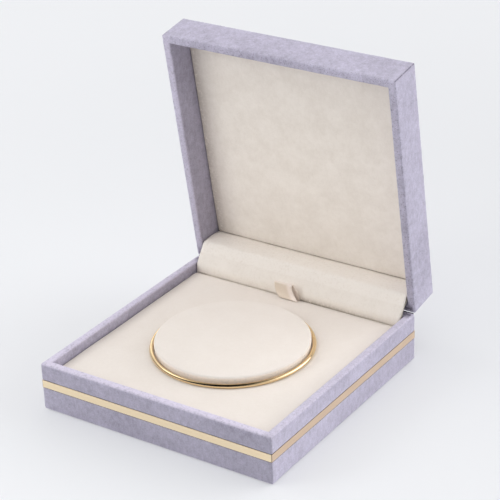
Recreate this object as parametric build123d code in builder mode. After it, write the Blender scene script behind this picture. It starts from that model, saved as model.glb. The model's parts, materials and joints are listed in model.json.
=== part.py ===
"""Bangle box standing open, in millimetres.

Covered board base and lid on two sprung hinges, a bending hinge cover between them,
a lift-out insert with a round cushion, and the bangle that lies round the cushion.
The origin is the centre of the base's underside, +Z is up, the front is -Y and the
lid hinges at +Y. The lid is drawn as it stands in the photograph, leaning forward.
"""

import os
from math import atan2, cos, degrees, radians, sin, tan

from build123d import *

os.makedirs("parts", exist_ok=True)

# Outer sizes of the box and the angle that the lid stands open
box_width = 100.0
box_depth = 100.0
base_height = 19.45
lid_height = 14.75
rim_gap = 0.3
open_angle = 81.0

# Boards and their covering
wall_board = 2.1
suede = 0.5
edge_round = 0.7
rim_round = 0.2
seam_gap = 0.05
overrun = 1.0

# Base floor and underside
underside_cloth_thickness = 0.3
turn_in_width = 8.0
floor_board_thickness = 2.0
floor_lining_thickness = 0.2

# Metal strip let into the base
strip_height = 3.0
strip_thickness = 0.4
strip_bottom = 9.5
strip_side_gap = 0.15

# Lid roof and its pad
roof_board_thickness = 2.0
lid_pad_depth = 11.3
lid_velvet_thickness = 0.4
lid_pad_round = 0.3

# Insert
insert_recess = 3.45
insert_side_gap = 0.3
insert_velvet_thickness = 0.4
insert_foam_thickness = 1.2
insert_platform_thickness = 1.5
riser_thickness = 2.0
insert_round = 0.8
insert_corner_round = 1.0
hinge_slot_width = 3.3

# Round cushion
cushion_radius = 29.35
cushion_height = 3.8
cushion_crown = 0.4
halfway_crown_share = 0.75
cushion_round = 0.9
cushion_draw_in = 0.35
cushion_velvet_thickness = 0.4
cushion_middle = (0.5, 0.4)

# Bangle
bangle_bore = 59.0
bangle_wire = 1.6
bangle_seat_gap = 0.05

# Pull tab, a folded ribbon
tab_width = 8.2
tab_offset = -3.4
tab_height = 6.5
tab_ribbon = 0.25
tab_fold = 0.45
tab_lean = 0.7
tab_tail = 6.0
tab_clearance = 0.05

# Hinges
hinge_outset = 0.2
hinge_spacing = 54.0
hinge_width = 16.0
hinge_side_gap = 0.2
lid_knuckle_width = 6.0
knuckle_gap = 0.2
knuckle_radius = 1.1
knuckle_clearance = 0.15
pin_radius = 0.5
pin_base_clearance = 0.02
pin_lid_clearance = 0.05
leaf_thickness = 0.5
base_leaf_drop = 9.0
lid_leaf_rise = 7.5
detent_flat_depth = 0.12

# Leaf springs that bear on the lid knuckles
spring_thickness = 0.25
spring_width = 4.6
spring_drop = 7.0
spring_knuckle_gap = 0.05

# Screws
screw_shank_radius = 0.5
screw_head_radius = 1.0
screw_head_height = 0.25
screw_depth = 1.5
screw_hole_clearance = 0.02
screw_spacing = 10.4
screw_level_share = 0.55

# Hinge cover, a velvet covered card in three strips
cover_card_thickness = 0.5
cover_velvet_thickness = 0.4
cover_side_gap = 0.4
cover_slot_gap = 1.0
cover_strip_gap = 0.2
cover_crease_setback = 5.5
cover_fold_rise = 0.7
cover_bend_drop = 2.05
cover_foot_level = 10.0
cover_upper_bulge = 0.9
cover_middle_bulge = 0.85
cover_pad_gap = 0.05

# Levels and places that follow
wall = wall_board + 2 * suede
inner_width = box_width - 2 * wall
inner_depth = box_depth - 2 * wall
skin_width = box_width - 2 * suede
skin_depth = box_depth - 2 * suede
core_width = skin_width - 2 * wall_board
core_depth = skin_depth - 2 * wall_board
rear_inner = box_depth / 2 - wall
rear_board_inner = box_depth / 2 - suede - wall_board
board_bottom = underside_cloth_thickness + suede
floor_board_top = board_bottom + floor_board_thickness
floor_top = floor_board_top + floor_lining_thickness
insert_top = base_height - insert_recess
insert_front = -box_depth / 2 + wall + insert_side_gap
insert_rear = rear_inner - hinge_slot_width
insert_depth = insert_rear - insert_front
insert_middle = (insert_rear + insert_front) / 2
insert_width = inner_width - 2 * insert_side_gap
hinge_y = box_depth / 2 + hinge_outset
hinge_z = base_height + rim_gap / 2
hinge_places = [-hinge_spacing / 2, hinge_spacing / 2]
notch_width = hinge_width + 2 * hinge_side_gap
screw_places = [-screw_spacing / 2, screw_spacing / 2]
knuckle_bore = pin_radius + pin_base_clearance

# The lid's own plane: its origin is on the hinge axis, its z goes from rim to roof
lean_cos = cos(radians(open_angle))
lean_sin = sin(radians(open_angle))
lid_plane = Plane(origin=(0, hinge_y, hinge_z), x_dir=(1, 0, 0), z_dir=(0, lean_sin, lean_cos))
lid_axis = Axis(lid_plane.origin, lid_plane.z_dir)
lid_rim = rim_gap / 2
lid_top = lid_rim + lid_height
roof_top = lid_top - suede
roof_under = roof_top - roof_board_thickness
lid_pad_face = lid_rim + lid_pad_depth
lid_centre = -(hinge_outset + box_depth / 2)
lid_rear_inner = -(hinge_outset + wall)
lid_rear_board_inner = -(hinge_outset + suede + wall_board)
lid_pad_front = lid_centre - inner_depth / 2 + insert_side_gap
lid_pad_rear = -cover_crease_setback
lid_pad_length = lid_pad_rear - lid_pad_front
lid_pad_middle = (lid_pad_rear + lid_pad_front) / 2
lid_pad_width = inner_width - 2 * insert_side_gap


def lid_point(along, up):
    """A point of the lid's plane as (y, z) in the box's frame."""
    return (
        hinge_y + lean_cos * along + lean_sin * up,
        hinge_z - lean_sin * along + lean_cos * up,
    )


def centred_box(width, depth, bottom, top, plane=Plane.XY, middle=0, mode=Mode.ADD):
    """A block from level bottom to level top of a plane, centred on its own middle line."""
    with BuildSketch(plane.offset(bottom)) as outline:
        with Locations((0, middle)):
            Rectangle(width, depth)
    extrude(outline.sketch, amount=top - bottom, mode=mode)


def frame_ring(outer_width, outer_depth, inner_w, inner_d, bottom, top, plane, middle, mode):
    """A rectangular ring from level bottom to level top of a plane."""
    with BuildSketch(plane.offset(bottom)) as ring:
        with Locations((0, middle)):
            Rectangle(outer_width, outer_depth)
            Rectangle(inner_w, inner_d, mode=Mode.SUBTRACT)
    extrude(ring.sketch, amount=top - bottom, mode=mode)


def side_blocks(centres, width, outline, mode):
    """Blocks with one outline in the YZ plane, at several places along X."""
    for centre in centres:
        with BuildSketch(Plane.YZ.offset(centre - width / 2)) as side:
            with BuildLine():
                Polyline(*outline, close=True)
            make_face()
        extrude(side.sketch, amount=width, mode=mode)


def block_outline(y_low, y_high, z_low, z_high):
    """The four corners of an upright block in the YZ plane."""
    return [(y_low, z_low), (y_high, z_low), (y_high, z_high), (y_low, z_high)]


def lid_outline(along_low, along_high, up_low, up_high):
    """The four corners of a block in the lid's plane, in the YZ plane of the box."""
    corners = block_outline(along_low, along_high, up_low, up_high)
    return [lid_point(*corner) for corner in corners]


def knuckle_row(centres, width, radius, mode):
    """Cylinders along the hinge axis."""
    for centre in centres:
        with BuildSketch(Plane.YZ.offset(centre - width / 2)) as end:
            with Locations((hinge_y, hinge_z)):
                Circle(radius)
        extrude(end.sketch, amount=width, mode=mode)


def finish_part(part, name):
    """Labels a finished sub-part and writes it."""
    part.label = name
    export_step(part, f"parts/{name}.step")


# Base boards
base_notch_bottom = hinge_z - knuckle_radius - seam_gap
base_notch = block_outline(rear_inner - overrun, box_depth / 2 + overrun, base_notch_bottom, hinge_z)
base_board_top = base_height - suede
base_leaf_bottom = hinge_z - base_leaf_drop
base_screw_level = hinge_z - base_leaf_drop * screw_level_share - leaf_thickness
screw_hole_radius = screw_shank_radius + screw_hole_clearance

with BuildPart() as base_front_board:
    centred_box(skin_width, wall_board, board_bottom, base_board_top,
                middle=-(skin_depth - wall_board) / 2)
finish_part(base_front_board.part, "base_front_board")

with BuildPart() as base_rear_board:
    centred_box(skin_width, wall_board, board_bottom, base_board_top,
                middle=(skin_depth - wall_board) / 2)
    side_blocks(hinge_places, notch_width, base_notch, Mode.SUBTRACT)
    for hinge_x in hinge_places:
        with BuildSketch(Plane.XZ.offset(-rear_board_inner)):
            with Locations(*[(hinge_x + place, base_screw_level) for place in screw_places]):
                Circle(screw_hole_radius)
        extrude(amount=-screw_depth, mode=Mode.SUBTRACT)
finish_part(base_rear_board.part, "base_rear_board")

for side_name, side in (("left", -1), ("right", 1)):
    with BuildPart() as base_side_board:
        with BuildSketch(Plane.XY.offset(board_bottom)):
            with Locations((side * (skin_width - wall_board) / 2, 0)):
                Rectangle(wall_board, core_depth)
        extrude(amount=base_board_top - board_bottom)
    finish_part(base_side_board.part, f"base_{side_name}_board")

with BuildPart() as base_floor_board:
    centred_box(core_width, core_depth, board_bottom, floor_board_top)
finish_part(base_floor_board.part, "base_floor_board")

with BuildPart() as base_floor_lining:
    centred_box(inner_width, inner_depth, floor_board_top, floor_top)
finish_part(base_floor_lining.part, "base_floor_lining")

# Cloth on the underside, with its raised middle between the turned-in edges
open_width = box_width - 2 * turn_in_width
open_depth = box_depth - 2 * turn_in_width
with BuildPart() as underside_cloth:
    centred_box(core_width, core_depth, 0, underside_cloth_thickness)
    centred_box(open_width - 2 * seam_gap, open_depth - 2 * seam_gap,
                underside_cloth_thickness, board_bottom)
finish_part(underside_cloth.part, "underside_cloth")

# Suede covering of the base: outer skin, rim, inner skin and the turned-in edge below
groove_bottom = strip_bottom - strip_side_gap
groove_top = strip_bottom + strip_height + strip_side_gap
base_leaf_recess = block_outline(rear_inner - overrun, rear_board_inner, base_leaf_bottom, hinge_z)
with BuildPart() as base_suede_wrap:
    centred_box(box_width, box_depth, underside_cloth_thickness, base_height)
    fillet(base_suede_wrap.edges().filter_by(Axis.Z), edge_round)
    fillet(base_suede_wrap.faces().sort_by(Axis.Z)[0].edges(), edge_round)
    fillet(base_suede_wrap.faces().sort_by(Axis.Z)[-1].edges(), rim_round)
    frame_ring(skin_width, skin_depth, core_width, core_depth, board_bottom, base_board_top,
               Plane.XY, 0, Mode.SUBTRACT)
    centred_box(core_width, core_depth, board_bottom, floor_board_top, mode=Mode.SUBTRACT)
    centred_box(inner_width, inner_depth, floor_board_top, base_height + overrun, mode=Mode.SUBTRACT)
    centred_box(open_width, open_depth, 0, board_bottom + suede, mode=Mode.SUBTRACT)
    frame_ring(box_width + overrun, box_depth + overrun, box_width - 2 * strip_thickness,
               box_depth - 2 * strip_thickness, groove_bottom, groove_top, Plane.XY, 0, Mode.SUBTRACT)
    side_blocks(hinge_places, notch_width, base_notch, Mode.SUBTRACT)
    side_blocks(hinge_places, notch_width, base_leaf_recess, Mode.SUBTRACT)
finish_part(base_suede_wrap.part, "base_suede_wrap")

# Metal strips with mitred ends, one on each side of the base
strip_reach_x = box_width / 2
strip_reach_y = box_depth / 2
strip_sides = {
    "front": ((-strip_reach_x, -strip_reach_y), (strip_reach_x, -strip_reach_y), (0, 1)),
    "right": ((strip_reach_x, -strip_reach_y), (strip_reach_x, strip_reach_y), (-1, 0)),
    "rear": ((strip_reach_x, strip_reach_y), (-strip_reach_x, strip_reach_y), (0, -1)),
    "left": ((-strip_reach_x, strip_reach_y), (-strip_reach_x, -strip_reach_y), (1, 0)),
}
for side_name, (start, end, inward) in strip_sides.items():
    run = (Vector(*end) - Vector(*start)).normalized()
    inside = Vector(*inward) * strip_thickness
    outer_start = Vector(*start) + run * seam_gap
    outer_end = Vector(*end) - run * seam_gap
    inner_start = outer_start + inside + run * strip_thickness
    inner_end = outer_end + inside - run * strip_thickness
    with BuildPart() as trim_strip:
        with BuildSketch(Plane.XY.offset(strip_bottom)):
            with BuildLine():
                Polyline(outer_start, outer_end, inner_end, inner_start, close=True)
            make_face()
        extrude(amount=strip_height)
    finish_part(trim_strip.part, f"trim_strip_{side_name}")

# Lid boards
lid_board_bottom = lid_rim + suede
lid_notch_top = knuckle_radius + seam_gap
lid_notch = lid_outline(lid_rear_inner - overrun, -hinge_outset + overrun, 0, lid_notch_top)
lid_screw_level = lid_leaf_rise * screw_level_share + leaf_thickness

with BuildPart() as lid_front_board:
    centred_box(skin_width, wall_board, lid_board_bottom, roof_under, lid_plane,
                lid_centre - (skin_depth - wall_board) / 2)
finish_part(lid_front_board.part, "lid_front_board")

with BuildPart() as lid_rear_board:
    centred_box(skin_width, wall_board, lid_board_bottom, roof_under, lid_plane,
                lid_centre + (skin_depth - wall_board) / 2)
    side_blocks(hinge_places, notch_width, lid_notch, Mode.SUBTRACT)
    lid_screw_plane = Plane(
        origin=(0, *lid_point(lid_rear_board_inner, lid_screw_level)),
        x_dir=(1, 0, 0),
        z_dir=(0, lean_cos, -lean_sin),
    )
    for hinge_x in hinge_places:
        with BuildSketch(lid_screw_plane):
            with Locations(*[(hinge_x + place, 0) for place in screw_places]):
                Circle(screw_hole_radius)
        extrude(amount=screw_depth, mode=Mode.SUBTRACT)
finish_part(lid_rear_board.part, "lid_rear_board")

for side_name, side in (("left", -1), ("right", 1)):
    with BuildPart() as lid_side_board:
        with BuildSketch(lid_plane.offset(lid_board_bottom)):
            with Locations((side * (skin_width - wall_board) / 2, lid_centre)):
                Rectangle(wall_board, core_depth)
        extrude(amount=roof_under - lid_board_bottom)
    finish_part(lid_side_board.part, f"lid_{side_name}_board")

with BuildPart() as lid_roof_board:
    centred_box(skin_width, skin_depth, roof_under, roof_top, lid_plane, lid_centre)
finish_part(lid_roof_board.part, "lid_roof_board")

# Suede covering of the lid: roof, outer skin, rim and inner skin
lid_leaf_recess = lid_outline(lid_rear_inner - overrun, lid_rear_board_inner, 0, lid_leaf_rise)
with BuildPart() as lid_suede_wrap:
    centred_box(box_width, box_depth, lid_rim, lid_top, lid_plane, lid_centre)
    fillet(lid_suede_wrap.edges().filter_by(lid_axis), edge_round)
    fillet(lid_suede_wrap.faces().sort_by(lid_axis)[-1].edges(), edge_round)
    fillet(lid_suede_wrap.faces().sort_by(lid_axis)[0].edges(), rim_round)
    frame_ring(skin_width, skin_depth, core_width, core_depth, lid_board_bottom, roof_under,
               lid_plane, lid_centre, Mode.SUBTRACT)
    centred_box(skin_width, skin_depth, roof_under, roof_top, lid_plane, lid_centre, Mode.SUBTRACT)
    centred_box(inner_width, inner_depth, lid_rim - overrun, roof_under, lid_plane, lid_centre,
                Mode.SUBTRACT)
    side_blocks(hinge_places, notch_width, lid_notch, Mode.SUBTRACT)
    side_blocks(hinge_places, notch_width, lid_leaf_recess, Mode.SUBTRACT)
finish_part(lid_suede_wrap.part, "lid_suede_wrap")

# Velvet pad in the lid, over its card
lid_card_face = lid_pad_face + lid_velvet_thickness
lid_card_width = lid_pad_width - 2 * lid_velvet_thickness
lid_card_length = lid_pad_length - 2 * lid_velvet_thickness
with BuildPart() as lid_pad_card:
    centred_box(lid_card_width, lid_card_length, lid_card_face, roof_under, lid_plane, lid_pad_middle)
finish_part(lid_pad_card.part, "lid_pad_card")

with BuildPart() as lid_pad_velvet:
    centred_box(lid_pad_width, lid_pad_length, lid_pad_face, roof_under, lid_plane, lid_pad_middle)
    fillet(lid_pad_velvet.faces().sort_by(lid_axis)[0].edges(), lid_pad_round)
    centred_box(lid_card_width, lid_card_length, lid_card_face, roof_under, lid_plane,
                lid_pad_middle, Mode.SUBTRACT)
finish_part(lid_pad_velvet.part, "lid_pad_velvet")

# Insert: risers, platform, foam and velvet
insert_core_width = insert_width - 2 * insert_velvet_thickness
insert_core_depth = insert_depth - 2 * insert_velvet_thickness
foam_top = insert_top - insert_velvet_thickness
platform_top = foam_top - insert_foam_thickness
platform_bottom = platform_top - insert_platform_thickness

with BuildPart() as insert_risers:
    with BuildSketch(Plane.XY.offset(floor_top)):
        for end in (-1, 1):
            with Locations((0, insert_middle + end * (insert_core_depth - riser_thickness) / 2)):
                Rectangle(insert_core_width, riser_thickness)
            with Locations((end * (insert_core_width - riser_thickness) / 2, insert_middle)):
                Rectangle(riser_thickness, insert_core_depth - 2 * riser_thickness - 2 * seam_gap)
    extrude(amount=platform_bottom - floor_top)
finish_part(insert_risers.part, "insert_risers")

with BuildPart() as insert_platform:
    centred_box(insert_core_width, insert_core_depth, platform_bottom, platform_top,
                middle=insert_middle)
finish_part(insert_platform.part, "insert_platform")

with BuildPart() as insert_foam:
    centred_box(insert_core_width, insert_core_depth, platform_top, foam_top, middle=insert_middle)
finish_part(insert_foam.part, "insert_foam")

with BuildPart() as insert_velvet:
    centred_box(insert_width, insert_depth, floor_top, insert_top, middle=insert_middle)
    fillet(insert_velvet.edges().filter_by(Axis.Z), insert_corner_round)
    fillet(insert_velvet.faces().sort_by(Axis.Z)[-1].edges(), insert_round)
    centred_box(insert_core_width, insert_core_depth, floor_top, foam_top, middle=insert_middle,
                mode=Mode.SUBTRACT)
finish_part(insert_velvet.part, "insert_velvet")


cushion_plane = Plane((*cushion_middle, 0), x_dir=(1, 0, 0), z_dir=(0, -1, 0))
cushion_axis = Axis((*cushion_middle, 0), (0, 0, 1))


def cushion_solid(inset, mode=Mode.ADD):
    """The round cushion, drawn in by inset: a crowned top, a rounded edge, a drawn-in side."""
    radius = cushion_radius - inset
    height = cushion_height - inset
    rounding = cushion_round - inset
    foot = radius - cushion_draw_in
    with BuildSketch(cushion_plane) as half:
        with BuildLine():
            top = insert_top + height
            crown = (0, top + cushion_crown)
            halfway_out = ((radius - rounding) / 2, top + cushion_crown * halfway_crown_share)
            edge = (radius - rounding, top)
            side = (radius, top - rounding)
            base_line = (foot, insert_top)
            Line((0, insert_top), crown)
            ThreePointArc(crown, halfway_out, edge)
            RadiusArc(edge, side, rounding)
            Line(side, base_line)
            Line(base_line, (0, insert_top))
        make_face()
    revolve(half.sketch, axis=cushion_axis, mode=mode)


with BuildPart() as cushion_core:
    cushion_solid(cushion_velvet_thickness)
finish_part(cushion_core.part, "cushion_core")

with BuildPart() as cushion_velvet:
    cushion_solid(0)
    cushion_solid(cushion_velvet_thickness, Mode.SUBTRACT)
finish_part(cushion_velvet.part, "cushion_velvet")

# Bangle, a closed ring of round wire
bangle_ring_radius = (bangle_bore + bangle_wire) / 2
with BuildPart() as bangle:
    with BuildSketch(cushion_plane):
        with Locations((bangle_ring_radius, insert_top + bangle_seat_gap + bangle_wire / 2)):
            Circle(bangle_wire / 2)
    revolve(axis=cushion_axis)
finish_part(bangle.part, "bangle")

# Pull tab: the ribbon comes up behind the insert and folds over to the front
tab_rear = insert_rear + tab_clearance
tab_front = tab_rear - tab_lean
tab_path = [
    (tab_rear + tab_ribbon / 2, insert_top - tab_tail),
    (tab_rear + tab_ribbon / 2, insert_top),
    (tab_front, insert_top + tab_height - tab_fold),
]
tab_top_front = (tab_front - 2 * tab_fold, insert_top + tab_height - tab_fold)
tab_end = (tab_front - 2 * tab_fold - tab_lean / 2, insert_top + tab_fold)
with BuildPart() as pull_tab:
    with BuildSketch(Plane.YZ.offset(tab_offset - tab_width / 2)):
        with BuildLine() as ribbon_line:
            Polyline(*tab_path)
            fold_top = (tab_front - tab_fold, insert_top + tab_height)
            ThreePointArc(tab_path[-1], fold_top, tab_top_front)
            Line(tab_top_front, tab_end)
        trace(ribbon_line.line, tab_ribbon)
    extrude(amount=tab_width)
finish_part(pull_tab.part, "pull_tab")

# Hinge leaves, pins, springs and screws
base_knuckle_width = (hinge_width - lid_knuckle_width) / 2 - knuckle_gap
knuckle_offset = (hinge_width - base_knuckle_width) / 2
base_knuckles = [x + side * knuckle_offset for x in hinge_places for side in (-1, 1)]
flange_low = hinge_z - knuckle_radius
flange_high = flange_low + leaf_thickness
lid_flange_low = knuckle_radius - leaf_thickness
free_radius = knuckle_radius + knuckle_clearance

with BuildPart() as hinge_base_leaves:
    side_blocks(hinge_places, hinge_width,
                block_outline(rear_inner, rear_inner + leaf_thickness, base_leaf_bottom, flange_high),
                Mode.ADD)
    side_blocks(hinge_places, hinge_width, block_outline(rear_inner, hinge_y, flange_low, flange_high),
                Mode.ADD)
    knuckle_row(hinge_places, lid_knuckle_width + 2 * knuckle_gap, free_radius, Mode.SUBTRACT)
    knuckle_row(base_knuckles, base_knuckle_width, knuckle_radius, Mode.ADD)
    knuckle_row(hinge_places, hinge_width + overrun, knuckle_bore, Mode.SUBTRACT)
    for hinge_x in hinge_places:
        with BuildSketch(Plane.XZ.offset(-rear_inner)):
            with Locations(*[(hinge_x + place, base_screw_level) for place in screw_places]):
                Circle(screw_hole_radius)
        extrude(amount=-leaf_thickness, mode=Mode.SUBTRACT)
finish_part(hinge_base_leaves.part, "hinge_base_leaves")

# A lid knuckle has two flats, which face the spring's tip while the lid is open and while it is shut
flat_distance = knuckle_radius - detent_flat_depth
open_flat = block_outline(hinge_y - knuckle_radius - overrun, hinge_y - flat_distance,
                          hinge_z - knuckle_radius, hinge_z + knuckle_radius)
shut_flat = lid_outline(-knuckle_radius - overrun, -flat_distance, -knuckle_radius, lid_flange_low)
with BuildPart() as hinge_lid_leaves:
    side_blocks(hinge_places, hinge_width,
                lid_outline(lid_rear_inner, lid_rear_inner + leaf_thickness, lid_flange_low, lid_leaf_rise),
                Mode.ADD)
    side_blocks(hinge_places, hinge_width,
                lid_outline(lid_rear_inner, 0, lid_flange_low, knuckle_radius), Mode.ADD)
    knuckle_row(base_knuckles, base_knuckle_width + 2 * knuckle_gap, free_radius, Mode.SUBTRACT)
    knuckle_row(hinge_places, lid_knuckle_width, knuckle_radius, Mode.ADD)
    knuckle_row(hinge_places, hinge_width, pin_radius + pin_lid_clearance, Mode.SUBTRACT)
    side_blocks(hinge_places, lid_knuckle_width, open_flat, Mode.SUBTRACT)
    side_blocks(hinge_places, lid_knuckle_width, shut_flat, Mode.SUBTRACT)
    for hinge_x in hinge_places:
        with BuildSketch(lid_screw_plane.offset(-leaf_thickness)):
            with Locations(*[(hinge_x + place, 0) for place in screw_places]):
                Circle(screw_hole_radius)
        extrude(amount=leaf_thickness, mode=Mode.SUBTRACT)
finish_part(hinge_lid_leaves.part, "hinge_lid_leaves")

with BuildPart() as hinge_pins:
    knuckle_row(hinge_places, hinge_width, pin_radius, Mode.ADD)
finish_part(hinge_pins.part, "hinge_pins")

spring_front = rear_inner - spring_thickness
spring_level_low = hinge_z - spring_thickness / 2
spring_level_high = hinge_z + spring_thickness / 2
spring_tip = hinge_y - knuckle_radius - spring_knuckle_gap
spring_outline = [
    (spring_front, hinge_z - spring_drop),
    (rear_inner, hinge_z - spring_drop),
    (rear_inner, spring_level_low),
    (spring_tip, spring_level_low),
    (spring_tip, spring_level_high),
    (spring_front, spring_level_high),
]
with BuildPart() as hinge_springs:
    side_blocks(hinge_places, spring_width, spring_outline, Mode.ADD)
finish_part(hinge_springs.part, "hinge_springs")

with BuildPart() as hinge_base_screws:
    for hinge_x in hinge_places:
        with BuildSketch(Plane.XZ.offset(-rear_inner)):
            with Locations(*[(hinge_x + place, base_screw_level) for place in screw_places]):
                Circle(screw_head_radius)
        extrude(amount=screw_head_height)
        with BuildSketch(Plane.XZ.offset(-rear_inner)):
            with Locations(*[(hinge_x + place, base_screw_level) for place in screw_places]):
                Circle(screw_shank_radius)
        extrude(amount=-screw_depth)
finish_part(hinge_base_screws.part, "hinge_base_screws")

with BuildPart() as hinge_lid_screws:
    for hinge_x in hinge_places:
        with BuildSketch(lid_screw_plane.offset(-leaf_thickness)):
            with Locations(*[(hinge_x + place, 0) for place in screw_places]):
                Circle(screw_head_radius)
        extrude(amount=-screw_head_height)
        with BuildSketch(lid_screw_plane.offset(-leaf_thickness)):
            with Locations(*[(hinge_x + place, 0) for place in screw_places]):
                Circle(screw_shank_radius)
        extrude(amount=screw_depth)
finish_part(hinge_lid_screws.part, "hinge_lid_screws")

# Hinge cover: the upper strip hangs in the lid, the middle one folds, the lower one slides
cover_width = inner_width - 2 * cover_side_gap
cover_face = insert_rear + cover_slot_gap
cover_fold = lid_point(-cover_crease_setback + cover_pad_gap, cover_fold_rise)
cover_crease = lid_point(-cover_crease_setback + cover_pad_gap, lid_pad_face - cover_pad_gap)
cover_tail = roof_under - lid_pad_face
cover_bend = (cover_face, base_height - cover_bend_drop)


def run_angle(start, end):
    """The direction of a run in the YZ plane, in radians from +Y."""
    return atan2(end[1] - start[1], end[0] - start[0])


def cover_strip(start, end, bulge, tail, near, far, start_cut, end_cut):
    """A strip that follows an arc from start to end, between two depths behind its face.

    The cuts say how far each end leans in, per unit of depth, so that two strips
    that meet at a bend don't run into each other. The tail runs on straight.
    """
    run = Vector(end[0] - start[0], end[1] - start[1]).normalized()
    behind = Vector(run.Y, -run.X)
    corners = {}
    for name, depth in (("near", near), ("far", far)):
        corners[name] = (
            Vector(*start) + behind * depth + run * depth * start_cut,
            Vector(*end) + behind * depth - run * depth * end_cut,
        )
    with BuildSketch(Plane.YZ.offset(-cover_width / 2)) as strip:
        with BuildLine():
            for first, last in corners.values():
                if bulge:
                    SagittaArc(first, last, bulge)
                else:
                    Line(first, last)
                if tail:
                    Line(last, last + run * tail)
            Line(corners["near"][0], corners["far"][0])
            Line(corners["near"][1] + run * tail, corners["far"][1] + run * tail)
        make_face()
    extrude(strip.sketch, amount=cover_width)


def shortened(start, end, at_start, at_end):
    """The same run, shorter by the two given lengths."""
    run = Vector(end[0] - start[0], end[1] - start[1]).normalized()
    first = Vector(*start) + run * at_start
    last = Vector(*end) - run * at_end
    return (first.X, first.Y), (last.X, last.Y)


cover_back = cover_velvet_thickness + cover_card_thickness
cover_foot = (cover_face, cover_foot_level)
upper_run = shortened(cover_fold, cover_crease, cover_strip_gap / 2, 0)
middle_run = shortened(cover_bend, cover_fold, cover_strip_gap, cover_strip_gap / 2)
lower_run = shortened(cover_foot, cover_bend, 0, cover_strip_gap / 2)
bend_turn = run_angle(cover_foot, cover_bend) - run_angle(cover_bend, cover_fold)
fold_turn = run_angle(cover_bend, cover_fold) - run_angle(cover_fold, cover_crease)
cover_strips = {
    "upper": (upper_run, cover_upper_bulge, cover_tail, tan(fold_turn / 2), 0),
    "middle": (middle_run, cover_middle_bulge, 0, tan(bend_turn), tan(fold_turn / 2)),
    "lower": (lower_run, 0, 0, 0, 0),
}
for strip_name, ((start, end), bulge, tail, start_cut, end_cut) in cover_strips.items():
    with BuildPart() as cover_velvet:
        cover_strip(start, end, bulge, tail, 0, cover_velvet_thickness, start_cut, end_cut)
    finish_part(cover_velvet.part, f"cover_{strip_name}_velvet")
    with BuildPart() as cover_card:
        cover_strip(start, end, bulge, tail, cover_velvet_thickness, cover_back, start_cut, end_cut)
    finish_part(cover_card.part, f"cover_{strip_name}_card")

# What the moving pieces need to be told: hinge axis, fold line and travel
cover_rest_angle = degrees(run_angle(cover_fold, cover_bend))
print("hinge axis y, z", round(hinge_y, 3), round(hinge_z, 3))
print("cover fold y, z", [round(value, 3) for value in cover_fold], "run angle", round(cover_rest_angle, 2))
print("cover bend y, z", [round(value, 3) for value in cover_bend])
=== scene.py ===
"""Dresses the open bangle box: napped suede, velvet pads, ribbon tab, polished bangle, light and camera."""

import json
import math

import bmesh
import bpy
import numpy as np
from mathutils import Matrix, Vector, noise


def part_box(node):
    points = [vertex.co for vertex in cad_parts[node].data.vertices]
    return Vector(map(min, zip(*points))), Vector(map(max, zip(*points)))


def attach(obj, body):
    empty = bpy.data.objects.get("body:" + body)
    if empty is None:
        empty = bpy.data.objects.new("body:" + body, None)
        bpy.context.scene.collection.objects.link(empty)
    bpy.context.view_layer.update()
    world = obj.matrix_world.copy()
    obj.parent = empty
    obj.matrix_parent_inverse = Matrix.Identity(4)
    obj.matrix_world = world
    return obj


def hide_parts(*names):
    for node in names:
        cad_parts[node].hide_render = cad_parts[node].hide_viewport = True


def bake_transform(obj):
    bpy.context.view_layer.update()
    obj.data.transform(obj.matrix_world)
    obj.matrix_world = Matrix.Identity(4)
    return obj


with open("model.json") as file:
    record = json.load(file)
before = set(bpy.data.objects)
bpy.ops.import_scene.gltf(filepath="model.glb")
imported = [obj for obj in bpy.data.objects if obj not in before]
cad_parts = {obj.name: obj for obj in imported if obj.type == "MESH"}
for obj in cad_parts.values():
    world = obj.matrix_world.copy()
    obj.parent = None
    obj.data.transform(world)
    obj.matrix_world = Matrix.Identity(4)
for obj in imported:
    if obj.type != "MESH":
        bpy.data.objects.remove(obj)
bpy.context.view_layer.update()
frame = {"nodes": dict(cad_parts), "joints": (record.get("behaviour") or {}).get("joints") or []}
nodes = frame["nodes"]
joints = {joint["name"]: joint for joint in frame["joints"]}
MM = 0.001

# Camera, fitted to the box's corners: degrees, millimetres and pixels of a 500 px picture
camera_yaw = 34.4182
camera_pitch = 26.5821
camera_roll = 2.2234
camera_place = (346.676, -491.181, 356.57)
focal_px = 1857.39
picture_px = 500
sensor_mm = 36.0

# Colours, linear red, green and blue
lilac_light = (0.602, 0.572, 0.703)
lilac_dark = (0.318, 0.297, 0.371)
# Painted highlight on the suede's rims
lilac_highlight = (0.74, 0.69, 0.83)
# Dark of the suede's corner seams and flecks, and painted shade in the groove and at the hinge ends
lilac_seam_and_shade = (0.10, 0.085, 0.12)
cream_light = (0.945, 0.883, 0.81)
cream_dark = (0.838, 0.77, 0.693)
flat_cream_light = (0.915, 0.853, 0.798)
flat_cream_dark = (0.868, 0.80, 0.738)
# The insert's velvet painted about 3 % lighter for the cushion, as painted light
cushion_lit_light = (0.945, 0.883, 0.827)
cushion_lit_dark = (0.898, 0.829, 0.767)
# Painted highlight on the velvet: the hinge cover and the cushion's rear edge
cream_highlight = (0.98, 0.925, 0.86)
# Painted warm reflection of the gold bangle on the cushion's lower side
cushion_gold_reflection = (0.985, 0.87, 0.755)
# Painted shade and painted shadow on the velvet: along the pads' edges and beside the tab
cream_painted_shade = (0.16, 0.11, 0.065)
# Painted highlight on the ribbon: its lit band, its fold and its rear ply
ribbon_highlight = (0.98, 0.875, 0.80)
ribbon_light = (0.93, 0.82, 0.70)
ribbon_dark = (0.78, 0.67, 0.55)
strip_colour = (1.0, 0.85, 0.60)
strip_shade = (0.99, 0.80, 0.54)
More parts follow.
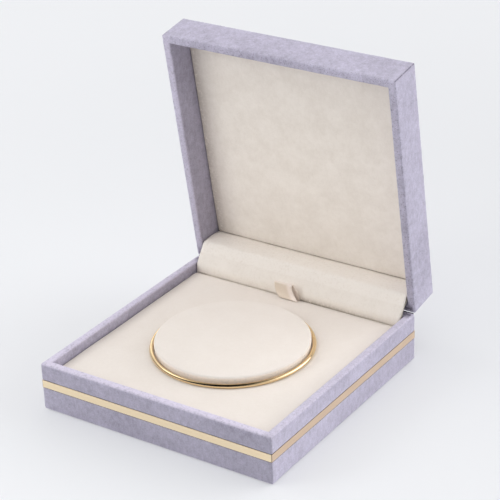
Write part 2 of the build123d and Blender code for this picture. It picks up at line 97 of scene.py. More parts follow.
# The side strips: the front strips' satin gold painted darker, as painted shade
shaded_side_strip_colour = (0.80, 0.62, 0.455)
shaded_side_strip_shade = (0.73, 0.555, 0.40)
strip_joint = (0.22, 0.15, 0.09)
bangle_colour = (0.90, 0.70, 0.42)
bangle_shade = (0.84, 0.64, 0.37)
steel_colour = (0.55, 0.53, 0.50)
steel_shade = (0.42, 0.40, 0.38)
board_light = (0.33, 0.31, 0.28)
board_dark = (0.22, 0.21, 0.19)
card_light = (0.68, 0.64, 0.55)
card_dark = (0.58, 0.54, 0.46)
cloth_light = (0.10, 0.09, 0.13)
cloth_dark = (0.06, 0.055, 0.08)
foam_light = (0.85, 0.82, 0.74)
foam_dark = (0.74, 0.70, 0.61)
floor_colour = (0.86, 0.87, 0.895)

# Sizes of the coverings, in millimetres
skin = 0.5
outer_round = 0.45
inner_round = 0.2
base_edge_round = 0.8
rim_soft_round = 0.6
rear_rim_round = 0.12
rim_nap = 0.04
# Shares of painted highlight on the base's and the lid's rims
base_rim_highlight = 0.75
lid_rim_highlight = 0.02
roof_edge_round = 0.9
roof_border = 3.0
groove_round = 0.15
groove_depth = 0.42
groove_gap = 0.15
floor_reach = 8.0
pad_edge_round = 0.8
lid_pad_round = 0.3
mesh_step = 0.7
coarse_step = 1.6
seam_depth = 0.14
nap_height = 0.055
nap_scale = 1.6
pile_height = 0.02
pile_scale = 1.3
# Reach and strength of the rims' painted highlight, and reach of their dark flecks
rim_highlight_reach = 0.7
rim_highlight_gain = 1.6
rim_fleck_reach = 1.6
rim_slack = 0.2
face_slack = 0.1
leaf_cover = 0.02
hinge_half = 8.0
notch_gap = 0.2
gradient_run = 90.0


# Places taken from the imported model
def node_box(name):
    """A node's lowest and highest corners, in millimetres."""
    low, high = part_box(name)
    return Vector(low) / MM, Vector(high) / MM


base_low, base_high = node_box("base_suede_wrap")
board_low, board_high = node_box("base_rear_board")
strip_low, strip_high = node_box("trim_strip_front")
leaf_low, leaf_high = node_box("hinge_base_leaves")
insert_low, insert_high = node_box("insert_velvet")
cushion_low, cushion_high = node_box("cushion_velvet")
bangle_low, bangle_high = node_box("bangle")
tab_low, tab_high = node_box("pull_tab")
cover_half = node_box("cover_lower_velvet")[1].x

hinge = Vector(joints["lid_hinge"]["pos_m"]) / MM
open_angle = math.radians(joints["lid_hinge"]["range_deg"][1])
lean_cos = math.cos(open_angle)
lean_sin = math.sin(open_angle)
lid_matrix = Matrix((
    (1, 0, 0, 0),
    (0, lean_cos, lean_sin, hinge.y),
    (0, -lean_sin, lean_cos, hinge.z),
    (0, 0, 0, 1),
))
to_lid = lid_matrix.inverted()


def lid_box(name):
    """A node's lowest and highest corners in the lid's own plane: x, along and up."""
    places = [to_lid @ (Vector(vertex.co) / MM) for vertex in nodes[name].data.vertices]
    return [Vector(pick(place[axis] for place in places) for axis in range(3)) for pick in (min, max)]


lid_low, lid_high = lid_box("lid_suede_wrap")
lid_board_top = lid_box("lid_rear_board")[1].z
lid_pad_low, lid_pad_high = lid_box("lid_pad_velvet")
lid_leaf_top = lid_box("hinge_lid_leaves")[1].z
half_width = base_high.x
wall = skin + (board_high.y - board_low.y) + skin
notch_centre = leaf_high.x - hinge_half
notch_reach = hinge_half + notch_gap


# Number helpers
def clamped(value):
    """A value kept between 0 and 1."""
    return min(1.0, max(0.0, value))


def nearness(distance, reach):
    """1 at no distance, falling to 0 at a reach."""
    return max(0.0, 1 - distance / reach)


def across_box(place):
    """Rises from 0 to 1 across the box, with 0.5 in its middle."""
    return clamped(0.5 + place / gradient_run)


# Mesh helpers
def smooth_mesh(name, points, faces, matrix=None, joined=True):
    """A mesh object from points in millimetres and faces, smooth shaded, with the outside outwards."""
    mesh = bpy.data.meshes.new(name)
    places = [Vector(point) if matrix is None else matrix @ Vector(point) for point in points]
    mesh.from_pydata([place * MM for place in places], [], faces)
    builder = bmesh.new()
    builder.from_mesh(mesh)
    if joined:
        bmesh.ops.remove_doubles(builder, verts=builder.verts, dist=1e-7)
    bmesh.ops.recalc_face_normals(builder, faces=builder.faces)
    builder.to_mesh(mesh)
    builder.free()
    mesh.polygons.foreach_set("use_smooth", [True] * len(mesh.polygons))
    mesh.update()
    piece = bpy.data.objects.new(name, mesh)
    bpy.context.scene.collection.objects.link(piece)
    return piece


def rounded_path(corners, step):
    """Points along straight runs whose corners, given as (across, level, radius), are rounded."""
    path = []
    for index, (across, level, radius) in enumerate(corners):
        here = Vector((across, level))
        if index in (0, len(corners) - 1) or radius == 0:
            path.append(here)
            continue
        before = (Vector(corners[index - 1][:2]) - here).normalized()
        after = (Vector(corners[index + 1][:2]) - here).normalized()
        half_angle = before.angle(after) / 2
        reach = radius / math.tan(half_angle)
        centre = here + (before + after).normalized() * radius / math.sin(half_angle)
        first = here + before * reach
        last = here + after * reach
        count = max(3, int(radius * 6))
        for k in range(count + 1):
            chord = first.lerp(last, k / count) - centre
            path.append(centre + chord.normalized() * radius)
    dense = [path[0]]
    for point in path[1:]:
        run = point - dense[-1]
        pieces = max(1, math.ceil(run.length / step))
        start = dense[-1]
        dense += [start + run * (k + 1) / pieces for k in range(pieces)]
    return [(point.x, point.y) for point in dense]


corner_angles = (15, 30, 40, 43.5, 45, 46.5, 50, 60, 75)
knee_share = 0.73
notch_step = 0.02


def column_fractions(step):
    """Places along one straight side, from -1 to 1, close together at the hinge notches' ends."""
    straight = half_width - outer_round
    places = set(np.linspace(-straight, straight, int(2 * straight / step) + 1))
    for side in (-1, 1):
        for end in (-1, 1):
            edge = side * notch_centre + end * notch_reach
            places |= {edge - notch_step, edge + notch_step}
    return sorted(places)


def ring(offset, level, columns, half_x=half_width, half_y=half_width, centre_y=0.0, corner=outer_round,
         scaled=False):
    """One closed loop at an offset inwards, as (x, y, level, side, seam) for each column."""
    radius = max(corner - offset, inner_round)
    reach_x = half_x - offset - radius
    reach_y = half_y - offset - radius
    full = half_width - outer_round
    knee = full * knee_share

    def along(place, reach):
        if scaled or reach < knee:
            return place * reach / full
        if abs(place) <= knee:
            return place
        return math.copysign(knee + (abs(place) - knee) * (reach - knee) / (full - knee), place)

    points = []
    for side in range(4):
        turn = side * math.pi / 2
        out_x, out_y = math.cos(turn - math.pi / 2), math.sin(turn - math.pi / 2)
        run_x, run_y = -out_y, out_x
        reach_along, reach_out = (reach_x, reach_y) if side % 2 == 0 else (reach_y, reach_x)
        for place in columns:
            s = along(place, reach_along)
            x = out_x * (reach_out + radius) + run_x * s
            y = out_y * (reach_out + radius) + run_y * s
            points.append((x, y + centre_y, level, side, 0.0))
        for angle in corner_angles:
            a = turn - math.pi / 2 + math.radians(angle)
            x = (out_x * reach_out + run_x * reach_along) + math.cos(a) * radius
            y = (out_y * reach_out + run_y * reach_along) + math.sin(a) * radius
            points.append((x, y + centre_y, level, side + 0.5, 1.0 if angle == 45 else 0.0))
    return points


def skin_of_rings(rings):
    """Points and faces of rings joined one to the next."""
    points = [point for loop in rings for point in loop]
    count = len(rings[0])
    faces = []
    for r in range(len(rings) - 1):
        for c in range(count):
            d = (c + 1) % count
            faces.append((r * count + c, r * count + d, (r + 1) * count + d, (r + 1) * count + c))
    return points, faces


def rough_up(piece, height, scale, seed, weight=None):
    """Moves each point along its normal by layered noise, as the nap of a cloth does."""
    mesh = piece.data
    normals = [vertex.normal.copy() for vertex in mesh.vertices]
    shift = Vector((seed * 3.7, seed * 1.3, seed * 2.1))
    for vertex, normal in zip(mesh.vertices, normals):
        place = vertex.co / MM
        fine = noise.noise(place * scale + shift)
        broad = noise.noise(place * scale * 0.23 + shift)
        share = 1.0 if weight is None else weight(place)
        vertex.co += normal * (fine + 0.8 * broad) * height * share * MM
    mesh.update()


def point_values(piece, name, values):
    """Stores a number at each point, for the material."""
    attribute = piece.data.attributes.new(name, "FLOAT", "POINT")
    attribute.data.foreach_set("value", values)


# Node material helpers
def new_material(name):
    """A material with a fresh Principled shader: (material, node tree, shader)."""
    material = bpy.data.materials.new(name)
    material.use_nodes = True
    tree = material.node_tree
    return material, tree, tree.nodes["Principled BSDF"]


def object_place(tree, stretch=(1, 1, 1)):
    """Object coordinates in millimetres, stretched."""
    place = tree.nodes.new("ShaderNodeTexCoord")
    mapping = tree.nodes.new("ShaderNodeMapping")
    mapping.inputs["Scale"].default_value = [1 / MM * share for share in stretch]
    tree.links.new(place.outputs["Object"], mapping.inputs["Vector"])
    return mapping.outputs["Vector"]


def math_value(tree, operation, *inputs, clamp=False):
    """The result of a math node, each of whose inputs is a number or a socket."""
    step = tree.nodes.new("ShaderNodeMath")
    step.operation = operation
    step.use_clamp = clamp
    for socket, value in zip(step.inputs, inputs):
        if isinstance(value, (int, float)):
            socket.default_value = value
        else:
            tree.links.new(value, socket)
    return step.outputs[0]


def ranged_value(tree, value, from_min=0.0, from_max=1.0, to_min=0.0, to_max=1.0, steps="LINEAR"):
    """A value mapped from one range to another, and kept inside that."""
    spread = tree.nodes.new("ShaderNodeMapRange")
    spread.interpolation_type = steps
    limits = {"From Min": from_min, "From Max": from_max, "To Min": to_min, "To Max": to_max}
    for name, limit in limits.items():
        spread.inputs[name].default_value = limit
    tree.links.new(value, spread.inputs["Value"])
    return spread.outputs["Result"]


def stored_value(tree, name):
    """The number that is stored at each point under a name."""
    stored = tree.nodes.new("ShaderNodeAttribute")
    stored.attribute_name = name
    return stored.outputs["Fac"]


def noise_value(tree, vector, scale, detail=2.0, roughness=0.5, low=0.35, high=0.65):
    """Noise at a scale per millimetre, spread to 0 to 1."""
    texture = tree.nodes.new("ShaderNodeTexNoise")
    texture.inputs["Scale"].default_value = scale
    texture.inputs["Detail"].default_value = detail
    texture.inputs["Roughness"].default_value = roughness
    tree.links.new(vector, texture.inputs["Vector"])
    return ranged_value(tree, texture.outputs["Fac"], low, high)


def blend_values(tree, weighted):
    """The weighted sum of several values."""
    total = 0.0
    for value, weight in weighted:
        total = math_value(tree, "MULTIPLY_ADD", value, weight, total)
    return total


def mix_colours(tree, factor, first, second):
    """A colour between two, each a colour or a socket."""
    mix = tree.nodes.new("ShaderNodeMix")
    mix.data_type = "RGBA"
    for socket, colour in ((mix.inputs["A"], first), (mix.inputs["B"], second)):
        if isinstance(colour, tuple):
            socket.default_value = (*colour, 1)
        else:
            tree.links.new(colour, socket)
    tree.links.new(factor, mix.inputs["Factor"])
    return mix.outputs["Result"]


def add_bump(tree, shader, height, strength, distance):
    """Bump from a height value; distance in millimetres."""
    bump = tree.nodes.new("ShaderNodeBump")
    bump.inputs["Strength"].default_value = strength
    bump.inputs["Distance"].default_value = distance * MM
    tree.links.new(height, bump.inputs["Height"])
    tree.links.new(bump.outputs["Normal"], shader.inputs["Normal"])


def napped_cloth(name, light, dark, painted_light_colour, seam_and_shade_colour, cloud_share, streak_share, grain_share,
                 blotch_share=0.0, fleck_share=0.0, shade_share=0.0, cloud_scale=0.09, grain_scale=2.4,
                 streak_length=0.6, bump_height=0.05, sheen=0.12):
    """Suede or velvet: clouds and blotches where the nap lies differently, brushed streaks and fine pile.

    The values stored at its points turn it to its highlight colour as painted highlight, and to its seam
    colour at seams and as painted shade; one more darkens it as painted shade, and one gives it more dark
    flecks near rims.
    """
    material, tree, shader = new_material(name)
    place = object_place(tree)
    brushed = object_place(tree, (1.0, 1.0, streak_length))
    clouds = noise_value(tree, place, cloud_scale, 3.0, 0.55)
    streaks = noise_value(tree, brushed, 0.8, 3.0, 0.6)
    grain = noise_value(tree, place, grain_scale, 2.0, 0.7)
    blotches = noise_value(tree, place, 0.42, 3.0, 0.6)
    tone = blend_values(tree, [(clouds, cloud_share), (streaks, streak_share), (grain, grain_share),
                               (blotches, blotch_share)])
    colour = mix_colours(tree, tone, dark, light)
    if fleck_share:
        specks = noise_value(tree, place, 1.9, 1.0, 0.5, 0.56, 0.70)
        strength = ranged_value(tree, stored_value(tree, "rim"), to_min=fleck_share, to_max=4 * fleck_share)
        speckled = math_value(tree, "MULTIPLY", specks, strength)
        colour = mix_colours(tree, speckled, colour, seam_and_shade_colour)
    dimmed = ranged_value(tree, stored_value(tree, "shade"), to_min=1.0, to_max=1 - shade_share)
    scaled = tree.nodes.new("ShaderNodeVectorMath")
    scaled.operation = "SCALE"
    tree.links.new(colour, scaled.inputs[0])
    tree.links.new(dimmed, scaled.inputs["Scale"])
    colour = scaled.outputs[0]
    for value_name, other in (("painted_light", painted_light_colour), ("seam_and_shade", seam_and_shade_colour)):
        flecks = noise_value(tree, place, 1.1, 2.0, 0.6, 0.18, 0.52)
        patchy = math_value(tree, "MULTIPLY", stored_value(tree, value_name), flecks, clamp=True)
        colour = mix_colours(tree, patchy, colour, other)
    tree.links.new(colour, shader.inputs["Base Color"])
    shader.inputs["Roughness"].default_value = 0.92
    shader.inputs["Specular IOR Level"].default_value = 0.15
    shader.inputs["Sheen Weight"].default_value = sheen
    shader.inputs["Sheen Roughness"].default_value = 0.45
    shader.inputs["Sheen Tint"].default_value = (*light, 1)
    pile = noise_value(tree, place, grain_scale * 1.7, 2.0, 0.6)
    height = blend_values(tree, [(pile, 0.6), (grain, 0.4), (streaks, 0.5)])
    add_bump(tree, shader, height, 0.5, bump_height)
    return material


def plain_mottled(name, light, dark, scale, roughness, bump_height):
    """Board, card or foam: two tones mixed by fine noise."""
    material, tree, shader = new_material(name)
    place = object_place(tree)
    tone = noise_value(tree, place, scale, 4.0, 0.7)
    tree.links.new(mix_colours(tree, tone, dark, light), shader.inputs["Base Color"])
    shader.inputs["Roughness"].default_value = roughness
    add_bump(tree, shader, tone, 0.4, bump_height)
    return material


def woven(name, light, dark, threads_per_mm, bump_height, sheen, painted_light_colour=None):
    """A plain weave from two crossed waves."""
    material, tree, shader = new_material(name)
    place = object_place(tree)
    heights = []
    for direction in ("X", "DIAGONAL"):
        wave = tree.nodes.new("ShaderNodeTexWave")
        wave.bands_direction = direction
        wave.inputs["Scale"].default_value = threads_per_mm / 2
        wave.inputs["Distortion"].default_value = 0.4
        wave.inputs["Detail"].default_value = 1.0
        tree.links.new(place, wave.inputs["Vector"])
        heights.append((wave.outputs["Fac"], 0.5))
    height = blend_values(tree, heights)
    colour = mix_colours(tree, height, dark, light)
    # Painted highlight where stored values ask for it
    if painted_light_colour:
        colour = mix_colours(tree, stored_value(tree, "painted_light"), colour, painted_light_colour)
    tree.links.new(colour, shader.inputs["Base Color"])
    shader.inputs["Roughness"].default_value = 0.8
    shader.inputs["Sheen Weight"].default_value = sheen
    add_bump(tree, shader, height, 0.5, bump_height)
    return material


def near_corner(tree, reach):
    """1 within a reach, in millimetres, of a vertical edge of the base, else 0."""
    sides = tree.nodes.new("ShaderNodeSeparateXYZ")
    tree.links.new(object_place(tree), sides.inputs["Vector"])
    total = 0.0
    for axis in ("X", "Y"):
        size = math_value(tree, "ABSOLUTE", sides.outputs[axis])
        total = math_value(tree, "ADD", size, total)
    return ranged_value(tree, total, 2 * half_width - 2 * reach, 2 * half_width - reach)


def metal(name, colour, shade, low_roughness, high_roughness, stretch, scale, bump_height=0.004, joint=None):
    """Metal whose tone and roughness change along fine brushed lines, dark where two strips meet."""
    material, tree, shader = new_material(name)
    place = object_place(tree, stretch)
    lines = noise_value(tree, place, scale, 3.0, 0.6)
    tone = mix_colours(tree, lines, shade, colour)
    if joint:
        tone = mix_colours(tree, near_corner(tree, joint_reach), tone, joint)
    tree.links.new(tone, shader.inputs["Base Color"])
    roughness = ranged_value(tree, lines, to_min=low_roughness, to_max=high_roughness)
    tree.links.new(roughness, shader.inputs["Roughness"])
    shader.inputs["Metallic"].default_value = 1.0
    add_bump(tree, shader, lines, 0.2, bump_height)
    return material


# Materials
suede = napped_cloth(
    "lilac_suede", lilac_light, lilac_dark, lilac_highlight, lilac_seam_and_shade, cloud_share=0.30, streak_share=0.20,
    grain_share=0.28, blotch_share=0.26, fleck_share=0.12, shade_share=0.15, cloud_scale=0.05,
    grain_scale=1.5, streak_length=0.45, bump_height=0.14, sheen=0.35)
velvet = napped_cloth(
    "cream_velvet", cream_light, cream_dark, cream_highlight, cream_painted_shade, cloud_share=0.45, streak_share=0.25,
    grain_share=0.30, blotch_share=0.25, shade_share=0.10, cloud_scale=0.13)
flat_velvet = napped_cloth(
    "flat_cream_velvet", flat_cream_light, flat_cream_dark, cream_highlight, cream_painted_shade, cloud_share=0.40,
    streak_share=0.25, grain_share=0.35, shade_share=0.12)
cushion_velvet = napped_cloth(
    "cushion_cream_velvet", cushion_lit_light, cushion_lit_dark, cream_highlight, cushion_gold_reflection, cloud_share=0.40,
    streak_share=0.25, grain_share=0.35, shade_share=0.15)
ribbon = woven("cream_ribbon", ribbon_light, ribbon_dark, 3.0, 0.04, 0.3, ribbon_highlight)
lining = woven("lining_cloth", cloth_light, cloth_dark, 2.0, 0.05, 0.1)
board = plain_mottled("grey_board", board_light, board_dark, 1.5, 0.9, 0.05)
card = plain_mottled("card", card_light, card_dark, 1.0, 0.8, 0.02)
foam = plain_mottled("foam", foam_light, foam_dark, 2.5, 0.95, 0.1)
brushed_along = (0.1, 0.1, 6.0)
joint_reach = 0.1
strip_gold = metal("satin_gold_strip", strip_colour, strip_shade, 0.28, 0.42, brushed_along, 1.0,
                   joint=strip_joint)
side_gold = metal("satin_gold_side_strip", shaded_side_strip_colour, shaded_side_strip_shade, 0.32, 0.46, brushed_along,
                  1.0, joint=strip_joint)
bangle_gold = metal("polished_gold", bangle_colour, bangle_shade, 0.05, 0.11, (1, 1, 1), 0.3, 0.002)
steel = metal("hinge_steel", steel_colour, steel_shade, 0.30, 0.45, (0.2, 1, 4), 1.0)


# Suede shells of the base and the lid
fine_columns = column_fractions(mesh_step)


def squared(y, level, rear, rim, direction):
    """Makes the rounded rear edge of a rim sharper, by moving its points out to a smaller round."""
    across = y - (rear - rim_soft_round)
    along = (level - (rim - direction * rim_soft_round)) * direction
    if across <= 0 or along <= 0:
        return y, level
    reach = math.hypot(across, along)
    grown = rim_soft_round + (math.sqrt(2) - 1) * (rim_soft_round - rear_rim_round) * (
        math.sin(2 * math.atan2(along, across)))
    return rear - rim_soft_round + across * grown / reach, (
        rim - direction * rim_soft_round + direction * along * grown / reach)


def make_shell(path, inner_path, centre_y, limit, leaf_end, rim, direction, painted_light, shade):
    """A covered shell: an outer face that follows a path, and an inner face behind it.

    At the hinge notches of the rear wall its rim stops at a limit. A direction of 1 has the rim on top, and
    one of -1 has it below. Returns its points, faces, stored values and number of columns.
    """
    rings = []
    values = {"seam_and_shade": [], "painted_light": [], "rim": []}
    for number, (offset, level) in enumerate(path + inner_path):
        inside = number >= len(path)
        shaped = []
        for x, y, place, side, seam_and_shade in ring(offset, level, fine_columns, centre_y=centre_y):
            in_notch = side == 2 and abs(abs(x) - notch_centre) < notch_reach
            if in_notch and (place - limit) * direction > 0:
                place = limit
            beside_leaf = (place - leaf_end) * (limit - leaf_end) > 0
            if in_notch and beside_leaf and offset > wall - face_slack and not inside:
                y = centre_y + half_width - wall + skin + leaf_cover
            if seam_and_shade and not inside and offset < wall - rim_slack:
                pull = 1 - seam_depth / half_width
                x, y = x * pull, centre_y + (y - centre_y) * pull
            if side == 2 and not inside and not in_notch and offset < rim_soft_round:
                y, place = squared(y, place, centre_y + half_width, rim, direction)
            shaped.append((x, y, place))
            # Painted highlight on the rims, strongest at the rim's level
            rim_lit = min(1.0, nearness(abs(level - rim), rim_highlight_reach) * rim_highlight_gain)
            values["seam_and_shade"].append(0.0 if inside else shade(x, y, place, offset, seam_and_shade))
            values["painted_light"].append(0.0 if inside or offset > wall + face_slack else painted_light(x) * rim_lit)
            values["rim"].append(nearness(abs(level - rim), rim_fleck_reach))
        rings.append(shaped)
    points, faces = skin_of_rings(rings)
    return points, faces, values, len(rings[0])


def finish_shell(name, points, faces, values, matrix=None):
    """Turns a shell's points and faces into a piece with its seams, painted shade and painted rim highlight
    stored.
    """
    piece = smooth_mesh(name, points, faces, matrix, joined=False)
    for value_name, numbers in values.items():
        point_values(piece, value_name, numbers)
    return piece


groove_low = strip_low.z - groove_gap
groove_high = strip_high.z + groove_gap
base_rim = base_high.z + rim_nap
base_path = rounded_path([
    (floor_reach, base_low.z, 0),
    (0, base_low.z, base_edge_round),
    (0, groove_low, groove_round),
    (groove_depth, groove_low, 0),
    (groove_depth, groove_high, 0),
    (0, groove_high, groove_round),
    (0, base_rim, rim_soft_round),
    (wall, base_rim, rim_soft_round),
    (wall, insert_low.z, 0),
], mesh_step)
lining_level = base_high.z - skin - rim_soft_round
base_inner_path = [
    (wall - skin, insert_low.z), (wall - skin, lining_level), (skin, lining_level),
    (skin, board_low.z), (floor_reach, board_low.z),
]
notch_depth = 1.15
rim_band = 1.0
hinge_end = 45.0
hinge_end_reach = 4.6


def hinge_end_shade(x, along):
    """Painted shade at the ends of the hinge, on the last millimetres of each side nearest the hinge."""
    return 0.85 * clamped(abs(x) - hinge_end) * clamped((along + hinge_end_reach) / 3.0)


def base_shade(x, y, level, offset, seam_and_shade):
    """Dark at the corner seams; painted shade in the strip's groove and at the ends of the hinge."""
    in_groove = 0.05 < offset < 1 and groove_low - 0.05 < level < groove_high + 0.05
    on_rim = offset > rim_soft_round and level > base_rim - rim_band
    at_hinge = hinge_end_shade(x, y - half_width) if on_rim else 0.0
    return max(seam_and_shade if offset < wall - rim_slack else 0.0, float(in_groove), at_hinge)


def base_rim_light(x):
    """Less painted highlight on the right rim of the base than on the others."""
    return base_rim_highlight - (0.3 if x > half_width - wall - 0.3 else 0.0)


base_points, base_faces, base_values, base_count = make_shell(
    base_path, base_inner_path, centre_y=0.0, limit=hinge.z - notch_depth, leaf_end=leaf_low.z, rim=base_rim,
    direction=1, painted_light=base_rim_light, shade=base_shade)
last = len(base_points) - base_count
base_faces += [(last + c, last + (c + 1) % base_count, (c + 1) % base_count, c) for c in range(base_count)]
base_suede = finish_shell("base_suede", base_points, base_faces, base_values)


def base_nap(place):
    """The nap stands less at the strip's groove and under the base."""
    near_groove = groove_low - 0.2 < place.z < groove_high + 0.2
    low = place.z < base_low.z + 0.2
    return 0.15 if near_groove or low else 1.0


rough_up(base_suede, nap_height, nap_scale, 1, base_nap)
base_suede.data.materials.append(suede)
front_face = rim_soft_round - half_width
point_values(base_suede, "shade", [
    across_box(vertex.co.x / MM) if vertex.co.y / MM < front_face else 0.0
    for vertex in base_suede.data.vertices])
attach(base_suede, "base")
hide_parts("base_suede_wrap")

lid_centre = (lid_low.y + lid_high.y) / 2
lid_rim = lid_low.z - rim_nap
lid_path = rounded_path([
    (wall, lid_board_top, 0),
    (wall, lid_rim, rim_soft_round),
    (0, lid_rim, rim_soft_round),
    (0, lid_high.z, roof_edge_round),
    (roof_border, lid_high.z, 0),
], mesh_step)
lid_inner_left = wall - half_width
lid_inner_reach = (lid_high.y - lid_low.y) / 2 - wall + face_slack
edge_seam = 0.13


def lid_shade(x, y, level, offset, seam_and_shade):
    """Dark at the corner seams and along the front corners; painted shade at the ends of the hinge."""
    on_rim = offset > rim_soft_round and abs(level - lid_rim) < rim_band
    at_hinge = hinge_end_shade(x, y - lid_high.y) if on_rim else 0.0
    from_edge = math.hypot(half_width - edge_seam - abs(x), y - lid_low.y - edge_seam)
    return max(seam_and_shade if offset < wall - rim_slack else 0.0, at_hinge, 0.8 * nearness(from_edge, 0.4))


def lid_rim_light(x):
    """More painted highlight on the left rim of the lid than on the others."""
    return lid_rim_highlight + (0.4 if x < lid_inner_left + 0.3 else 0.0)


def lid_inner_shade(x, y, level):
    """Painted shade: the inner left wall darker."""
    on_wall = lid_inner_left - 0.25 < x < lid_inner_left + 0.5 and abs(y - lid_centre) < lid_inner_reach
    return 0.75 if on_wall and level < lid_high.z - 1.0 else 0.0


lid_points, lid_faces, lid_values, lid_count = make_shell(
    lid_path, [], centre_y=lid_centre, limit=notch_depth, leaf_end=lid_leaf_top, rim=lid_rim, direction=-1,
    painted_light=lid_rim_light, shade=lid_shade)
roof_offsets = np.concatenate([
    np.arange(roof_border + 1.0, half_width - 1.0, coarse_step), [half_width - 0.4]])
roof_rings = [
    [point[:3] for point in ring(offset, lid_high.z, fine_columns, centre_y=lid_centre, scaled=True)]
    for offset in roof_offsets
]
first_roof = len(lid_points) - lid_count
roof_faces = skin_of_rings([lid_points[first_roof:]] + roof_rings)[1]
lid_faces += [tuple(first_roof + index for index in face) for face in roof_faces]
lid_points += [point for loop in roof_rings for point in loop]
lid_faces.append(tuple(range(len(lid_points) - lid_count, len(lid_points))))
for numbers in lid_values.values():
    numbers += [0.0] * (lid_count * len(roof_rings))
lid_suede = finish_shell("lid_suede", lid_points, lid_faces, lid_values, lid_matrix)
rough_up(lid_suede, nap_height, nap_scale, 2)
lid_suede.data.materials.append(suede)
point_values(lid_suede, "shade", [lid_inner_shade(*point) for point in lid_points])
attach(lid_suede, "lid")
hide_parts("lid_suede_wrap")


# Velvet pads of the insert and the lid
def make_pad(name, low, high, foot, top, edge_round, corner, sink, seed, edge_shade, left_shade, cloth,
             matrix=None):
    """A soft pad between two corners, from foot level to top level, with rounded edges that sink a little."""
    half_x, half_y, centre_y = high.x, (high.y - low.y) / 2, (low.y + high.y) / 2
    direction = 1 if top > foot else -1
    path = rounded_path([(0, foot, 0), (0, top, edge_round), (3.0, top, 0)], mesh_step)
    smallest = min(half_x, half_y)
    offsets = list(np.arange(3.8, smallest - 1.0, 1.1)) + [smallest - 0.4]
    columns = column_fractions(1.0)
    rings = [ring(o, level, columns, half_x, half_y, centre_y, corner, True) for o, level in path]
    rings += [ring(o, top, columns, half_x, half_y, centre_y, corner, True) for o in offsets]
    points, faces = skin_of_rings(rings)
    count = len(rings[0])
    faces.append(tuple(range(len(points) - count, len(points))))
    faces.append(tuple(range(count)))
    soft = []
    for x, y, level, side, seam_and_shade in points:
        inwards = min(half_x - abs(x), half_y - abs(y - centre_y))
        share = (level - foot) / (top - foot)
        drop = sink * math.exp(-max(inwards, 0) / 2.2) * share
        wave = noise.noise(Vector((x, y, seed * 9.0)) * 0.05) * 0.10 * share
        soft.append((x, y, level - direction * (drop - wave)))
    piece = smooth_mesh(name, soft, faces, matrix)
    # Painted shade along the pad's edges and down its left side, and a painted shade gradient: the lid pad
    # darker towards its top, the insert darker towards its front
    shades = []
    for vertex in piece.data.vertices:
        spot = vertex.co / MM if matrix is None else matrix.inverted() @ (vertex.co / MM)
        beside = min(half_x - spot.x, half_y - abs(spot.y - centre_y))
        shades.append(max(edge_shade * nearness(beside, 2.5), left_shade * nearness(spot.x + half_x, 5.0)))
    point_values(piece, "seam_and_shade", shades)
    point_values(piece, "shade", [
        clamped((vertex.co.z / MM - 55) / 50) if matrix else across_box(-vertex.co.y / MM)
        for vertex in piece.data.vertices])
    rough_up(piece, pile_height, pile_scale, seed)
    piece.data.materials.append(cloth)
    return piece


insert_pad = make_pad("insert_pad", insert_low, insert_high, insert_low.z, insert_high.z, pad_edge_round,
                      corner=1.0, sink=0.25, seed=3, edge_shade=0.06, left_shade=0.12, cloth=flat_velvet)
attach(insert_pad, "insert")
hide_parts("insert_velvet")

lid_pad = make_pad("lid_pad", lid_pad_low, lid_pad_high, lid_pad_high.z, lid_pad_low.z, lid_pad_round,
                   corner=0.5, sink=0.12, seed=4, edge_shade=0.10, left_shade=0.42, cloth=velvet,
                   matrix=lid_matrix)
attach(lid_pad, "lid")
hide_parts("lid_pad_velvet")


# Round cushion, turned about the Z axis
def turned(name, middle, profile, columns, shape):
    """A closed piece turned about a middle from a profile of (radius, level) that starts and ends there."""
    points = [(middle.x, middle.y, profile[0][1])]
    for radius, level in profile[1:-1]:
        for c in range(columns):
            a = 2 * math.pi * c / columns
            r, z = shape(radius, level, a)
            points.append((middle.x + r * math.cos(a), middle.y + r * math.sin(a), z))
    points.append((middle.x, middle.y, shape(0, profile[-1][1], 0)[1]))
    faces = [(0, 1 + (c + 1) % columns, 1 + c) for c in range(columns)]
    rows = len(profile) - 2
    for r in range(rows - 1):
        for c in range(columns):
            d = (c + 1) % columns
            faces.append((1 + r * columns + c, 1 + r * columns + d, 1 + (r + 1) * columns + d,
                          1 + (r + 1) * columns + c))
    last = 1 + (rows - 1) * columns
    faces += [(len(points) - 1, last + c, last + (c + 1) % columns) for c in range(columns)]
    return smooth_mesh(name, points, faces)


cushion_middle = (cushion_low + cushion_high) / 2
cushion_radius = (cushion_high.x - cushion_low.x) / 2
cushion_draw_in = 0.4
cushion_round = 0.85
cushion_crown = 0.4
cushion_edge_level = cushion_high.z - cushion_crown
cushion_profile = rounded_path([
    (0, cushion_low.z, 0),
    (cushion_radius - cushion_draw_in, cushion_low.z, 0.15),
    (cushion_radius, cushion_edge_level, cushion_round),
    (0, cushion_edge_level, 0),
], 0.8)


def cushion_shape(radius, level, angle):
    """Crowns the top and lets the gathered side bulge a little between its small tucks."""
    if level > cushion_edge_level - cushion_round:
        share = (level - cushion_edge_level + cushion_round) / cushion_round
        level += cushion_crown * (1 - (radius / cushion_radius) ** 2) * share
    height = (level - cushion_low.z) / (cushion_edge_level - cushion_low.z)
    tuck = 0.035 * math.sin(angle * 46 + 2.5 * math.sin(angle * 3)) * max(0.0, 1 - height * 1.2)
    wave = 0.06 * noise.noise(Vector((math.cos(angle) * 2.0, math.sin(angle) * 2.0, height)))
    return radius + (tuck + wave) * (radius > cushion_radius * 0.9), level


cushion = turned("round_cushion", cushion_middle, cushion_profile, 300, cushion_shape)
rough_up(cushion, pile_height, pile_scale, 5)
